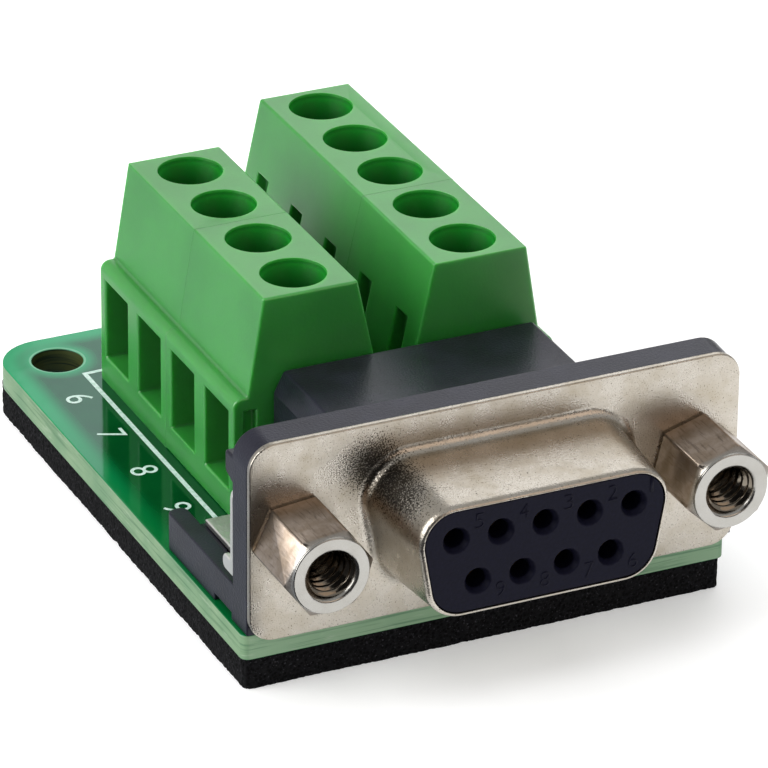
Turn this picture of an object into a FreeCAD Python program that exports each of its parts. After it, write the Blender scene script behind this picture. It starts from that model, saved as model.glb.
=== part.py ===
import FreeCAD, Part
import math
import os

V = FreeCAD.Vector

# A nine-way D-shaped socket on a small board, with each contact brought out to a rising-cage
# screw terminal. X runs along the connector's flange, Y runs from the flange to the back of the
# board, Z is up. The origin is the middle of the foam pad's underside. All sizes are millimetres.

# Contacts: their pitch sets the width of the shell, the flange and the board
contact_pitch = 2.77
contact_row_spacing = 2.84
top_row_count = 5
contact_margin = 2.625
contact_row_margin = 2.53
entry_hole = 1.2
entry_sides = 16
entry_web = 1.8
socket_sides = 8
socket_diameter = 1.5
socket_bore = 1.05
socket_bore_depth = 5.5
socket_gap = 0.05
tail_width = 0.6
first_tail_row = 8.1
tail_hole_gap = 0.15

# Connector flange, shell and insulator
connector_shift = 0.25
axis_height = 5.9
jack_from_shell = 4.335
flange_end = 2.9
flange_rim = 2.3
flange_thickness = 0.4
flange_radius = 1.6
shell_radius = 2.6
shell_side_angle = 10.0
shell_reach = 6.26
shell_wall = 0.28
shell_draft = 0.39
shell_flare = 0.6
rim_chamfer = 0.2
insulator_gap = 0.05
insulator_recess = 0.05
collar_width = 1.6
collar_thickness = 1.0
collar_gap = 0.1

# Rear bracket with its hood and arms
bracket_thickness = 2.0
plate_step = 0.13
tail_cover = 2.16
hood_shift = 0.35
hood_side_gap = 0.95
hood_rise = 3.5
hood_shoulder_rise = 2.3
hood_top_inset = 0.65
hood_wall = 1.0
hood_edge = 0.3
arm_reach = 12.05
arm_wall = 1.2
arm_height = 2.4
arm_end_radius = 0.5
arm_notch_start = 0.2
arm_notch_length = 2.4
arm_notch_height = 0.45
arm_notch_depth = 0.4
foot_half_width = 2.3
foot_height = 1.9
foot_reach = 10.6
nib_width = 1.0
nib_depth = 1.05
nib_height = 1.6
nib_slant = 0.4
nib_gap = 0.1

# Board locks: a pierced strap behind the bracket, folded back over the foot
strap_thickness = 0.4
strap_rise = 2.8
strap_radius = 1.0
tab_width = 2.4
tab_reach = 10.35
lug_gap = 0.45
lug_height = 0.95
lug_reach = 1.05
lug_radius = 0.4
arm_gap = 0.1
prong_position = 6.3
prong_hole = 3.1
prong_width = 1.3
prong_spread = 2.2
prong_slot_gap = 0.1

# Jackscrews and their nuts
jack_flats = 4.75
jack_length = 4.83
jack_collar = 4.7
jack_collar_length = 0.55
jack_chamfer_angle = 30.0
jack_bore = 2.9
jack_bore_floor = 0.43
jack_mouth = 3.3
jack_mouth_depth = 0.2
jack_hole_gap = 0.24
stud_diameter = 2.8
stud_end = 0.3
nut_flats = 4.3
nut_thickness = 1.4
nut_thread_gap = 0.04
nut_bore_sides = 12

# Terminal rows, front block first: their pitch sets the depth of the board
pitch = 5.08
left_poles = (2, 2)
right_poles = (2, 3)
left_row_gap = 0.13
right_row_gap = 0.4
row_gap = 1.8

# Clamp screw, rising cage and solder bar: the room for the wire sets the heights above them
wire_space = 2.9
screw_diameter = 3.0
screw_head_height = 1.3
screw_slot_width = 0.7
screw_slot_depth = 0.7
screw_gap = 0.05
cage_depth = 3.6
cage_wall = 0.5
cage_floor = 0.6
cage_nut = 1.6
cage_corner = 0.3
cage_side_gap = 0.1
cage_end_gap = 0.15
cage_rest_gap = 0.05
cage_rest_depth = 0.25
cage_lift_gap = 0.1
thread_gap = 0.05
bar_thickness = 0.8
bar_side_gap = 0.15
bar_top_gap = 0.1
bar_end = 1.5
leg_thickness = 0.7
leg_gap = 0.1
pin_width = 0.9
pin_hole_gap = 0.1

# Housing, seen along the row: the outer side takes the wires
chamber_wall = 0.88
window_pillar = 1.61
window_bottom = 1.75
window_height = 5.15
lintel = 1.05
ledge_radius = 0.6
ledge_half_width = 4.0
top_half_width = 3.0
outer_foot = 4.9
inner_foot = 4.6
inner_foot_height = 6.7
shoulder_thickness = 0.6
shoulder_gap = 0.1
shaft_sides = 8
driver_hole = 3.7
driver_depth = 3.63
head_gap = 0.15
recess_width = 1.5
recess_top = 10.0
recess_floor = 3.3
groove_width = 0.7
groove_place = 3.8
groove_top = 7.05
groove_depth = 0.5
rib_gap = 0.08

# Board and foam pad
board_thickness = 1.6
board_side_inset = 0.05
board_edge_gap = 0.05
board_back_margin = 0.95
board_back_radius = 3.0
board_front_radius = 0.5
pad_thickness = 2.0
pad_inset = 0.15
pad_back_radius = 2.0
mount_hole = 3.2
mount_hole_side = 3.35
mount_hole_back = 3.1
pad_hole_gap = 0.5
pad_hole_sides = 24

# Widths that follow from the contacts
shell_width = contact_pitch * (top_row_count - 1) + 2 * contact_margin
shell_height = contact_row_spacing + 2 * contact_row_margin
jack_offset = shell_width / 2 + jack_from_shell
flange_width = 2 * (jack_offset + flange_end)
flange_height = shell_height + 2 * flange_rim
board_width = flange_width - 2 * board_side_inset
hood_half_width = jack_offset - flange_end - hood_side_gap

# Depths that follow from the tails and the terminal rows
hood_reach = first_tail_row + contact_row_spacing + tail_cover
hood_from_edge = hood_reach - flange_thickness - board_edge_gap
left_front = hood_from_edge + left_row_gap
right_front = hood_from_edge + right_row_gap
board_depth = right_front + pitch * sum(right_poles) + board_back_margin
board_front = -board_depth / 2
board_back = board_depth / 2
face_y = board_front - board_edge_gap - flange_thickness
flange_back = face_y + flange_thickness
bracket_back = flange_back + bracket_thickness
hood_back = face_y + hood_reach
right_row = inner_foot + row_gap / 2
left_row = -right_row

board_top = pad_thickness + board_thickness
axis_z = board_top + axis_height
insulator_inset = shell_draft + shell_wall + insulator_gap
front_of_insulator = face_y - shell_reach + insulator_recess

# Heights above the board that follow from the clamp
cage_width = pitch - chamber_wall - 2 * cage_side_gap
cage_bottom = window_bottom - cage_rest_depth - cage_floor
bar_bottom = cage_bottom + cage_floor + wire_space
bar_top = bar_bottom + bar_thickness
bar_width = cage_width - 2 * cage_wall - 2 * bar_side_gap
nut_bottom = bar_top + bar_top_gap
nut_top = nut_bottom + cage_nut
chamber_floor = cage_bottom - cage_rest_gap
chamber_top = nut_top + wire_space + cage_lift_gap
chamber_half_depth = cage_depth / 2 + cage_end_gap
chamber_half_width = cage_width / 2 + cage_side_gap
shoulder_height = chamber_top + shoulder_thickness
block_height = shoulder_height + driver_depth
window_width = pitch - window_pillar
window_top = window_bottom + window_height
ledge_height = window_top + lintel
head_seat = shoulder_height + screw_gap
screw_head = driver_hole - 2 * head_gap
leg_outer = -chamber_half_depth - leg_gap
leg_inner = leg_outer - leg_thickness
pin_place = (leg_outer + leg_inner) / 2


def box(x0, x1, y0, y1, z0, z1):
    return Part.makeBox(abs(x1 - x0), y1 - y0, z1 - z0, V(min(x0, x1), y0, z0))


def rod(radius, start, end):
    axis = end.sub(start)
    return Part.makeCylinder(radius, axis.Length, start, axis)


def taper(start_radius, end_radius, start, end):
    axis = end.sub(start)
    return Part.makeCone(start_radius, end_radius, axis.Length, start, axis)


def rounded_wire(corners, lift):
    """Closed outline through corners (a, b, radius); lift turns a and b into a point."""
    ends = []
    for index, (a, b, radius) in enumerate(corners):
        here = lift(a, b)
        before = lift(*corners[index - 1][:2]).sub(here).normalize()
        after = lift(*corners[(index + 1) % len(corners)][:2]).sub(here).normalize()
        if radius == 0:
            ends.append((here, None, here))
            continue
        half = before.getAngle(after) / 2
        middle = before.add(after).normalize()
        reach = radius / math.tan(half)
        crown = here.add(middle * (radius / math.sin(half) - radius))
        ends.append((here.add(before * reach), crown, here.add(after * reach)))
    edges = []
    for index, (start, crown, end) in enumerate(ends):
        previous = ends[index - 1][2]
        if previous.distanceToPoint(start) > 1e-6:
            edges.append(Part.makeLine(previous, start))
        if crown is not None:
            edges.append(Part.Arc(start, crown, end).toShape())
    return Part.Wire(edges)


def prism(corners, lift, direction):
    return Part.Face(rounded_wire(corners, lift)).extrude(direction)


def upright(corners, low, high):
    """Prism from low to high over an outline in X and Y."""
    return prism(corners, lambda a, b: V(a, b, low), V(0, 0, high - low))


def lengthways(corners, start, end):
    """Prism from start to end along Y over an outline in X and Z."""
    return prism(corners, lambda a, b: V(a, start, b), V(0, end - start, 0))


def rectangle(a0, a1, b0, b1, front_radius, back_radius):
    return [(a0, b0, front_radius), (a1, b0, front_radius), (a1, b1, back_radius), (a0, b1, back_radius)]


def polygon(sides, flats, a, b, turn=0.5):
    """Regular outline round (a, b); turn is the place of its first corner, in steps."""
    radius = flats / 2 / math.cos(math.pi / sides)
    angles = [2 * math.pi * (step + turn) / sides for step in range(sides)]
    return [(a + radius * math.cos(angle), b + radius * math.sin(angle), 0) for angle in angles]


def d_outline(inset):
    """D outline of the shell, moved inwards by inset."""
    width = shell_width - 2 * inset
    half_height = shell_height / 2 - inset
    radius = shell_radius - inset
    angle = math.radians(shell_side_angle)
    top = width / 2 + radius * ((1 + math.sin(angle)) / math.cos(angle) - 1)
    bottom = top - 2 * half_height * math.tan(angle)
    return [
        (connector_shift - top, axis_z + half_height, radius),
        (connector_shift + top, axis_z + half_height, radius),
        (connector_shift + bottom, axis_z - half_height, radius),
        (connector_shift - bottom, axis_z - half_height, radius),
    ]


def flange_outline(step=0):
    """Outline of the flange; step lowers its top edge, for the plate behind it."""
    left = connector_shift - flange_width / 2
    right = connector_shift + flange_width / 2
    low = axis_z - flange_height / 2
    high = axis_z + flange_height / 2 - step
    return rectangle(left, right, low, high, flange_radius, flange_radius)


def flat_edges(shape, y, keep):
    """Edges that lie in the plane at y and whose middle passes the test."""
    found = []
    for edge in shape.Edges:
        bounds = edge.BoundBox
        if abs(bounds.YMin - y) < 1e-4 and abs(bounds.YMax - y) < 1e-4 and keep(bounds.Center):
            found.append(edge)
    return found


def contact_places():
    """Place of each contact across the face, numbered from the right of the top row."""
    places = []
    for row, count in ((1, top_row_count), (-1, top_row_count - 1)):
        for step in range(count):
            x = connector_shift + contact_pitch * ((count - 1) / 2 - step)
            places.append((x, axis_z + row * contact_row_spacing / 2, row))
    return places


def tail_y(row):
    return face_y + first_tail_row + (contact_row_spacing if row > 0 else 0)


def pole_places():
    """Pole number, side, row and place along Y: 1 to 5 from the back of the right row, then 6 to 9."""
    rows = ((1, right_row, right_front, right_poles), (-1, left_row, left_front, left_poles))
    places = []
    number = 1
    for side, row, front, blocks in rows:
        count = sum(blocks)
        for step in range(count):
            y = board_front + front + pitch * (count - 0.5 - step)
            places.append((number, side, row, y))
            number += 1
    return places


def mount_hole_places():
    side = board_width / 2 - mount_hole_side
    return [(x, board_back - mount_hole_back) for x in (-side, side)]


def foam_pad():
    half_width = board_width / 2 - pad_inset
    outline = rectangle(-half_width, half_width, board_front + pad_inset, board_back - pad_inset,
                        board_front_radius, pad_back_radius)
    holes = []
    for x, y in mount_hole_places():
        hole = polygon(pad_hole_sides, mount_hole + 2 * pad_hole_gap, x, y)
        holes.append(upright(hole, 0, pad_thickness))
    return upright(outline, 0, pad_thickness).cut(holes)


def board():
    half_width = board_width / 2
    outline = rectangle(-half_width, half_width, board_front, board_back,
                        board_front_radius, board_back_radius)
    holes = [rod(mount_hole / 2, V(x, y, pad_thickness), V(x, y, board_top)) for x, y in mount_hole_places()]
    leads = []
    for number, side, row, y in pole_places():
        leads.append((row + side * pin_place, y, pin_width * math.sqrt(2) + 2 * pin_hole_gap))
    for x, z, row in contact_places():
        leads.append((x, tail_y(row), tail_width * math.sqrt(2) + 2 * tail_hole_gap))
    for side in (-1, 1):
        leads.append((connector_shift + side * jack_offset, face_y + prong_position, prong_hole))
    for x, y, flats in leads:
        holes.append(upright(polygon(socket_sides, flats, x, y), pad_thickness, board_top))
    return upright(outline, pad_thickness, board_top).cut(holes)


def d_stack(sections):
    """Solid through D outlines, each given by its place along Y and its inset."""
    wires = []
    for y, inset in sections:
        wires.append(rounded_wire(d_outline(inset), lambda a, b: V(a, y, b)))
    return Part.makeLoft(wires, True, True)


def front_shell():
    """Pressed shell: flange, flared root and D-shaped collar that narrows a little to its rim."""
    front = face_y - shell_reach
    collar = d_stack([
        (front, shell_draft + rim_chamfer),
        (front + rim_chamfer, shell_draft),
        (face_y - shell_flare, 0),
        (face_y, -shell_flare),
    ])
    hollow = d_stack([(front, shell_draft + shell_wall), (flange_back, shell_wall)])
    cuts = [hollow]
    for side in (-1, 1):
        x = connector_shift + side * jack_offset
        cuts.append(rod(stud_diameter / 2 + jack_hole_gap, V(x, face_y, axis_z), V(x, flange_back, axis_z)))
    return lengthways(flange_outline(), face_y, flange_back).fuse(collar).removeSplitter().cut(cuts)


def socket_insulator():
    body = lengthways(d_outline(insulator_inset), front_of_insulator, bracket_back)
    collar = lengthways(d_outline(insulator_inset - collar_width),
                        flange_back, flange_back + collar_thickness)
    body = body.fuse(collar).removeSplitter()
    web = front_of_insulator + entry_web
    cuts = []
    for x, z, row in contact_places():
        entry = polygon(entry_sides, entry_hole, x, z)
        chamber = polygon(socket_sides, socket_diameter + 2 * socket_gap, x, z)
        cuts += [lengthways(entry, front_of_insulator, web), lengthways(chamber, web, bracket_back)]
    return body.cut(cuts)


def socket_contact(x, z, row):
    """Rolled socket of eight flats, with a square tail that bends down through the board."""
    start = front_of_insulator + entry_web
    half = tail_width / 2
    drop = tail_y(row)
    barrel = lengthways(polygon(socket_sides, socket_diameter, x, z), start, bracket_back)
    bore = lengthways(polygon(socket_sides, socket_bore, x, z), start, start + socket_bore_depth)
    level = box(x - half, x + half, bracket_back, drop + half, z - half, z + half)
    tail = box(x - half, x + half, drop - half, drop + half, pad_thickness, z + half)
    return barrel.cut(bore).fuse([level, tail]).removeSplitter()


def hood_section(inset):
    """Corners of the hood's section across Y, moved inwards by inset and open to the board."""
    slope = hood_top_inset / (hood_rise - hood_shoulder_rise)
    side = hood_half_width - inset
    top = hood_rise - inset
    top_half = side - slope * (top - hood_shoulder_rise)
    centre = connector_shift + hood_shift
    return [
        (centre - side, board_top, 0),
        (centre + side, board_top, 0),
        (centre + side, axis_z + hood_shoulder_rise, 0),
        (centre + top_half, axis_z + top, 0),
        (centre - top_half, axis_z + top, 0),
        (centre - side, axis_z + hood_shoulder_rise, 0),
    ]


def bracket_side(side):
    """Arm, foot and nib of one side, with the pocket for the prongs and the notch under the arm.

    The arm starts at the flange, so it squares off the plate's lower corner.
    """
    outer = connector_shift + side * flange_width / 2
    inner = outer - side * arm_wall
    centre = connector_shift + side * jack_offset
    arm = [
        (outer, flange_back, 0),
        (outer, face_y + arm_reach, arm_end_radius),
        (inner, face_y + arm_reach, arm_end_radius),
        (inner, flange_back, 0),
    ]
    foot = box(centre - side * foot_half_width, inner, bracket_back, face_y + foot_reach,
               board_top, board_top + foot_height)
    low = axis_z + strap_rise + nib_gap
    nib_profile = [
        (bracket_back, low, 0),
        (bracket_back + nib_depth, low + nib_slant, 0),
        (bracket_back + nib_depth, low + nib_height, 0),
        (bracket_back, low + nib_height, 0),
    ]
    nib = prism(nib_profile, lambda a, b: V(outer, a, b), V(-side * nib_width, 0, 0))
    half_pocket_width = prong_spread / 2 + prong_slot_gap
    half_pocket = prong_width / 2 + prong_slot_gap
    pocket = box(centre - half_pocket_width, centre + half_pocket_width,
                 face_y + prong_position - half_pocket, face_y + prong_position + half_pocket,
                 board_top, board_top + foot_height)
    notch_start = bracket_back + arm_notch_start
    notch = box(outer, outer - side * arm_notch_depth, notch_start, notch_start + arm_notch_length,
                board_top, board_top + arm_notch_height)
    body = upright(arm, board_top, board_top + arm_height).fuse([foot, nib])
    return body.cut([pocket, notch])


def rear_bracket():
    """Moulded plate behind the flange, with a hood over the tails and an arm on each side."""
    plate = lengthways(flange_outline(plate_step), flange_back, bracket_back)
    plate = plate.cut(box(-board_width, board_width, flange_back, bracket_back, 0, board_top))

    hood = lengthways(hood_section(0), bracket_back, hood_back)
    edges = flat_edges(hood, hood_back, lambda point: point.z > board_top + hood_wall)
    hood = hood.makeChamfer(hood_edge, edges)
    hollow = lengthways(hood_section(hood_wall), bracket_back, hood_back - hood_wall)
    body = plate.fuse(hood).removeSplitter().cut(hollow)
    body = body.fuse([bracket_side(side) for side in (-1, 1)])

    passage = insulator_inset - collar_gap
    seat_end = flange_back + collar_thickness + collar_gap
    cuts = [
        lengthways(d_outline(passage), flange_back, bracket_back),
        lengthways(d_outline(passage - collar_width), flange_back, seat_end),
    ]
    for side in (-1, 1):
        x = connector_shift + side * jack_offset
        hole = polygon(nut_bore_sides, stud_diameter + 2 * jack_hole_gap, x, axis_z)
        cuts.append(lengthways(hole, flange_back, bracket_back))
    return body.cut(cuts).removeSplitter()


def board_lock(side):
    """Pierced strap held by the jackscrew, with a tab over the foot, a lug over the arm and two
    prongs in the board."""
    centre = connector_shift + side * jack_offset
    outer = connector_shift + side * flange_width / 2
    back = bracket_back + strap_thickness
    low = board_top + foot_height
    strap_outline = rectangle(centre - flange_end, centre + flange_end, low, axis_z + strap_rise,
                              0, strap_radius)
    arm_side = outer - side * (arm_wall + arm_gap)
    lug_low = board_top + arm_height + lug_gap
    clear_arm = box(arm_side, outer + side, bracket_back, back, low, lug_low)
    hole = polygon(nut_bore_sides, stud_diameter + 2 * jack_hole_gap, centre, axis_z)
    strap = lengthways(strap_outline, bracket_back, back)
    strap = strap.cut([clear_arm, lengthways(hole, bracket_back, back)])
    tab = box(centre - tab_width / 2, centre + tab_width / 2, back, face_y + tab_reach,
              low, low + strap_thickness)
    lug_profile = [
        (bracket_back, lug_low, 0),
        (back + lug_reach, lug_low, lug_radius),
        (back + lug_reach, lug_low + lug_height, lug_radius),
        (bracket_back, lug_low + lug_height, 0),
    ]
    lug = prism(lug_profile, lambda a, b: V(outer, a, b), V(-side * strap_thickness, 0, 0))
    pieces = [tab, lug]
    middle = face_y + prong_position
    for leg in (-1, 1):
        x = centre + leg * (prong_spread / 2 - strap_thickness)
        pieces.append(box(x, x + leg * strap_thickness, middle - prong_width / 2, middle + prong_width / 2,
                          pad_thickness, low + strap_thickness))
    return strap.fuse(pieces).removeSplitter()


def jackscrew(side):
    """Hexagonal standoff with a turned end, a tapped bore and a stud that holds the flange."""
    centre = connector_shift + side * jack_offset

    def along(distance):
        return V(centre, face_y - jack_length + distance, axis_z)

    corner = jack_flats / math.sqrt(3)
    slope_end = jack_collar_length + (corner - jack_collar / 2) * math.tan(math.radians(jack_chamfer_angle))
    collar = rod(jack_collar / 2, along(0), along(jack_collar_length))
    slope = taper(jack_collar / 2, corner, along(jack_collar_length), along(slope_end))
    barrel = rod(corner, along(slope_end), along(jack_length))
    flats = lengthways(polygon(6, jack_flats, centre, axis_z, 0), face_y - jack_length, face_y)
    body = flats.common(collar.fuse([slope, barrel])).fuse(collar).removeSplitter()
    stud_length = flange_thickness + bracket_thickness + strap_thickness + nut_thickness + stud_end
    body = body.fuse(rod(stud_diameter / 2, along(jack_length), along(jack_length + stud_length)))
    bore = rod(jack_bore / 2, along(0), along(jack_length - jack_bore_floor))
    mouth = taper(jack_mouth / 2, jack_bore / 2, along(0), along(jack_mouth_depth))
    return body.removeSplitter().cut([bore, mouth])


def jack_nut(side):
    centre = connector_shift + side * jack_offset
    start = bracket_back + strap_thickness
    end = start + nut_thickness
    bore = polygon(nut_bore_sides, stud_diameter + 2 * nut_thread_gap, centre, axis_z)
    return lengthways(polygon(6, nut_flats, centre, axis_z), start, end).cut(lengthways(bore, start, end))


def terminal_housing(side, row, start, poles):
    """Moulded housing for a few poles, with a groove in its front end and a rib on its back end."""
    length = poles * pitch

    def cell(inner, outer, middle, half, low, high):
        """Box across the row from inner to outer, round a place along it."""
        return box(row + side * inner, row + side * outer, middle - half, middle + half,
                   board_top + low, board_top + high)

    profile = [
        (-inner_foot, 0, 0),
        (outer_foot, 0, 0),
        (outer_foot, ledge_height, ledge_radius),
        (ledge_half_width, ledge_height, 0),
        (top_half_width, block_height, 0),
        (-top_half_width, block_height, 0),
        (-inner_foot, inner_foot_height, 0),
    ]
    body = prism(profile, lambda a, b: V(row + side * a, start, board_top + b), V(0, length, 0))
    cuts = []
    for pole in range(poles):
        y = start + (pole + 0.5) * pitch
        leg_half = bar_width / 2 + leg_gap
        pin_half = pin_width / 2 + leg_gap
        shaft = polygon(shaft_sides, screw_diameter + 2 * shoulder_gap, row, y)
        shaft_top = board_top + shoulder_height
        cuts += [
            cell(0, outer_foot, y, window_width / 2, window_bottom, window_top),
            cell(-chamber_half_depth, chamber_half_depth, y, chamber_half_width, chamber_floor, chamber_top),
            cell(leg_inner - leg_gap, leg_outer + leg_gap, y, leg_half, chamber_floor, bar_top + leg_gap),
            cell(pin_place - pin_half, pin_place + pin_half, y, pin_half, 0, chamber_floor),
            cell(-inner_foot, -recess_floor, y, recess_width / 2, 0, recess_top),
            upright(shaft, board_top + chamber_top, shaft_top),
            rod(driver_hole / 2, V(row, y, shaft_top), V(row, y, board_top + block_height)),
        ]
    groove_half = groove_width / 2
    cuts.append(cell(groove_place - groove_half, groove_place + groove_half, start, groove_depth,
                     0, groove_top))
    rib_half = groove_half - rib_gap
    rib = cell(groove_place - rib_half, groove_place + rib_half, start + length, groove_depth - rib_gap,
               0, groove_top - rib_gap)
    return body.fuse(rib).cut(cuts).removeSplitter()


def clamp_screw(row, y):
    """Slotted screw that turns in place, its tip just over the solder bar; the thread is a plain prism."""
    seat = board_top + head_seat
    top = seat + screw_head_height
    flats = screw_diameter * math.cos(math.pi / shaft_sides)
    shank = upright(polygon(shaft_sides, flats, row, y), board_top + bar_top + screw_gap, seat)
    head = rod(screw_head / 2, V(row, y, seat), V(row, y, top))
    slot = box(row - screw_head, row + screw_head, y - screw_slot_width / 2, y + screw_slot_width / 2,
               top - screw_slot_depth, top)
    return shank.fuse(head).removeSplitter().cut(slot)


def clamp_cage(row, y):
    """Square ring that climbs the screw: the wire is pinched between its floor and the bar."""
    low = board_top + cage_bottom
    high = board_top + nut_top
    near = y - cage_width / 2
    far = y + cage_width / 2
    outline = [
        (near + cage_corner, low, 0),
        (far - cage_corner, low, 0),
        (far, low + cage_corner, 0),
        (far, high, 0),
        (near, high, 0),
        (near, low + cage_corner, 0),
    ]
    front = row - cage_depth / 2
    ring = prism(outline, lambda a, b: V(front, a, b), V(cage_depth, 0, 0))
    inside = box(front, front + cage_depth, near + cage_wall, far - cage_wall,
                 low + cage_floor, board_top + nut_bottom)
    bore = polygon(shaft_sides, screw_diameter + 2 * thread_gap, row, y)
    return ring.cut([inside, upright(bore, board_top + nut_bottom, high)])


def solder_bar(side, row, y):
    """Fixed bar across the cage, with a leg and a pin that goes through the board."""

    def cell(inner, outer, half, low, high):
        return box(row + side * inner, row + side * outer, y - half, y + half, low, high)

    half_bar = bar_width / 2
    half_pin = pin_width / 2
    foot = board_top + chamber_floor
    knee = board_top + bar_bottom
    bar = cell(leg_inner, bar_end, half_bar, knee, board_top + bar_top)
    leg = cell(leg_inner, leg_outer, half_bar, foot, knee)
    pin = cell(pin_place - half_pin, pin_place + half_pin, half_pin, pad_thickness, foot)
    return bar.fuse([leg, pin]).removeSplitter()


def terminal_housings():
    """Housing of each block by name; the front block of a row meets the rear one rib in groove."""
    housings = {}
    rows = (
        ("left", -1, left_row, left_front, left_poles),
        ("right", 1, right_row, right_front, right_poles),
    )
    for name, side, row, front, blocks in rows:
        start = board_front + front
        for place, poles in zip(("front", "rear"), blocks):
            housings[f"{name}_{place}_housing"] = terminal_housing(side, row, start, poles)
            start += poles * pitch
    return housings


parts = {
    "foam_pad": foam_pad(),
    "circuit_board": board(),
    "front_shell": front_shell(),
    "socket_insulator": socket_insulator(),
    "rear_bracket": rear_bracket(),
}
for name, side in (("left", -1), ("right", 1)):
    parts[f"{name}_board_lock"] = board_lock(side)
    parts[f"{name}_jackscrew"] = jackscrew(side)
    parts[f"{name}_jack_nut"] = jack_nut(side)
for number, (x, z, row) in enumerate(contact_places(), start=1):
    parts[f"socket_contact_{number}"] = socket_contact(x, z, row)
parts.update(terminal_housings())
for number, side, row, y in pole_places():
    parts[f"clamp_screw_{number}"] = clamp_screw(row, y)
    parts[f"clamp_cage_{number}"] = clamp_cage(row, y)
    parts[f"solder_bar_{number}"] = solder_bar(side, row, y)

os.makedirs("parts", exist_ok=True)
for name, shape in parts.items():
    shape.exportStep(f"parts/{name}.step")
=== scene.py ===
import math

import bmesh
import bpy
import numpy as np
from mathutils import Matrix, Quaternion, Vector


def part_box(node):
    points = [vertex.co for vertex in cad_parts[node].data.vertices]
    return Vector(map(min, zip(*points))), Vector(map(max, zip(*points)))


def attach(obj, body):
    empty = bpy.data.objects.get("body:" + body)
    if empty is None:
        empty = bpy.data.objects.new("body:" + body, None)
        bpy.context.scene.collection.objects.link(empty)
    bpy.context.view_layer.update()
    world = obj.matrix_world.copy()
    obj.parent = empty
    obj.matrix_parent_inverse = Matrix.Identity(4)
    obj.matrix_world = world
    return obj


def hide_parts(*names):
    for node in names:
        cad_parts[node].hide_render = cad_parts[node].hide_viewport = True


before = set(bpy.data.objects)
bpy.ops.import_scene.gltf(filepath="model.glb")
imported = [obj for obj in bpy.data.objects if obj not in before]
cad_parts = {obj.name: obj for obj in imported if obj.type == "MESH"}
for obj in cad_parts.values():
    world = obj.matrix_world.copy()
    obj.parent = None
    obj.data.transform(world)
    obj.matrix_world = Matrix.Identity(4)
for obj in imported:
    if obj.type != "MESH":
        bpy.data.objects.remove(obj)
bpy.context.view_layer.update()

MM = 0.001


# The foam pad. A sheet of black closed-cell foam, 2 mm thick, cut to the board's outline and
# stuck under it. Its sawn sides show open cells, and a hole clears each mounting screw.

class Value:
    """One output of a node; arithmetic on it adds Math nodes beside it."""

    def __init__(self, nodes, socket):
        self.nodes = nodes
        self.socket = socket

    def maths(self, operation, *values):
        return self.nodes.add("ShaderNodeMath", {"operation": operation}, *values)

    def __add__(self, other):
        return self.maths("ADD", self, other)

    def __sub__(self, other):
        return self.maths("SUBTRACT", self, other)

    def __rsub__(self, other):
        return self.maths("SUBTRACT", other, self)

    def __mul__(self, other):
        return self.maths("MULTIPLY", self, other)

    def __pow__(self, other):
        return self.maths("POWER", self, other)

    def __abs__(self):
        return self.maths("ABSOLUTE", self)

    def at_least(self, low):
        return self.maths("MAXIMUM", self, low)

    def between(self, low, high):
        """0 below low, 1 above high, and a smooth step between them."""
        return self.nodes.add("ShaderNodeMapRange", {"interpolation_type": "SMOOTHSTEP"}, self, low, high)


class Nodes:
    """A node tree that any node is added to by its type, its settings and its sockets' values."""

    def __init__(self, tree):
        self.tree = tree

    def add(self, kind, settings, *values, output=0):
        """Values fill the node's sockets in order, None leaves one, and a colour may have 3 parts."""
        node = self.tree.nodes.new(kind)
        for name, value in settings.items():
            setattr(node, name, value)
        sockets = [socket for socket in node.inputs if socket.enabled]
        for socket, value in zip(sockets, values):
            if isinstance(value, Value):
                self.tree.links.new(value.socket, socket)
            elif value is not None:
                colour = socket.type == "RGBA" and len(value) == 3
                socket.default_value = (*value, 1.0) if colour else value
        shown = [socket for socket in node.outputs if socket.enabled]
        return Value(self, shown[output])

    def blend(self, factor, first, second):
        """The first colour where factor is 0 and the second where it is 1."""
        return self.add("ShaderNodeMix", {"data_type": "RGBA"}, factor, first, second)


class Finish(Nodes):
    """A Principled surface with the nodes that vary it; the material is in .material."""

    def __init__(self, name, colour, roughness, **surface):
        self.material = bpy.data.materials.new(name)
        self.material.use_nodes = True
        super().__init__(self.material.node_tree)
        self.surface = self.tree.nodes["Principled BSDF"]
        self.set("Base Color", (*colour, 1.0))
        self.set("Roughness", roughness)
        for name, value in surface.items():
            self.set(name.replace("_", " "), value)

    def set(self, name, value):
        if isinstance(value, Value):
            self.tree.links.new(value.socket, self.surface.inputs[name])
        else:
            self.surface.inputs[name].default_value = value

    def place(self, scale=(1.0, 1.0, 1.0)):
        """Object coordinates in millimetres, stretched by scale."""
        where = self.add("ShaderNodeTexCoord", {}, output=3)
        return self.add("ShaderNodeVectorMath", {"operation": "MULTIPLY"}, where, [s / MM for s in scale])

    def axis(self, index):
        """X, Y or Z in millimetres, for index 0, 1 or 2."""
        return self.add("ShaderNodeSeparateXYZ", {}, self.place(), output=index)

    def noise(self, size, detail=2.0, roughness=0.5, stretch=(1.0, 1.0, 1.0)):
        """Soft noise from 0 to 1 whose lumps are about size millimetres across."""
        where = self.place([s / size for s in stretch])
        return self.add("ShaderNodeTexNoise", {"noise_dimensions": "3D"}, where, 1.0, detail, roughness)

    def bump(self, height, depth):
        """Raises the surface by height times depth millimetres, in shading only."""
        self.set("Normal", self.add("ShaderNodeBump", {}, 1.0, depth * MM, 1.0, height))


def srgb(red, green, blue):
    """Linear colour of an sRGB colour that is given from 0 to 255."""
    value = np.array([red, green, blue]) / 255
    linear = np.where(value <= 0.04045, value / 12.92, ((value + 0.055) / 1.055) ** 2.4)
    return tuple(float(part) for part in linear)


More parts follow.
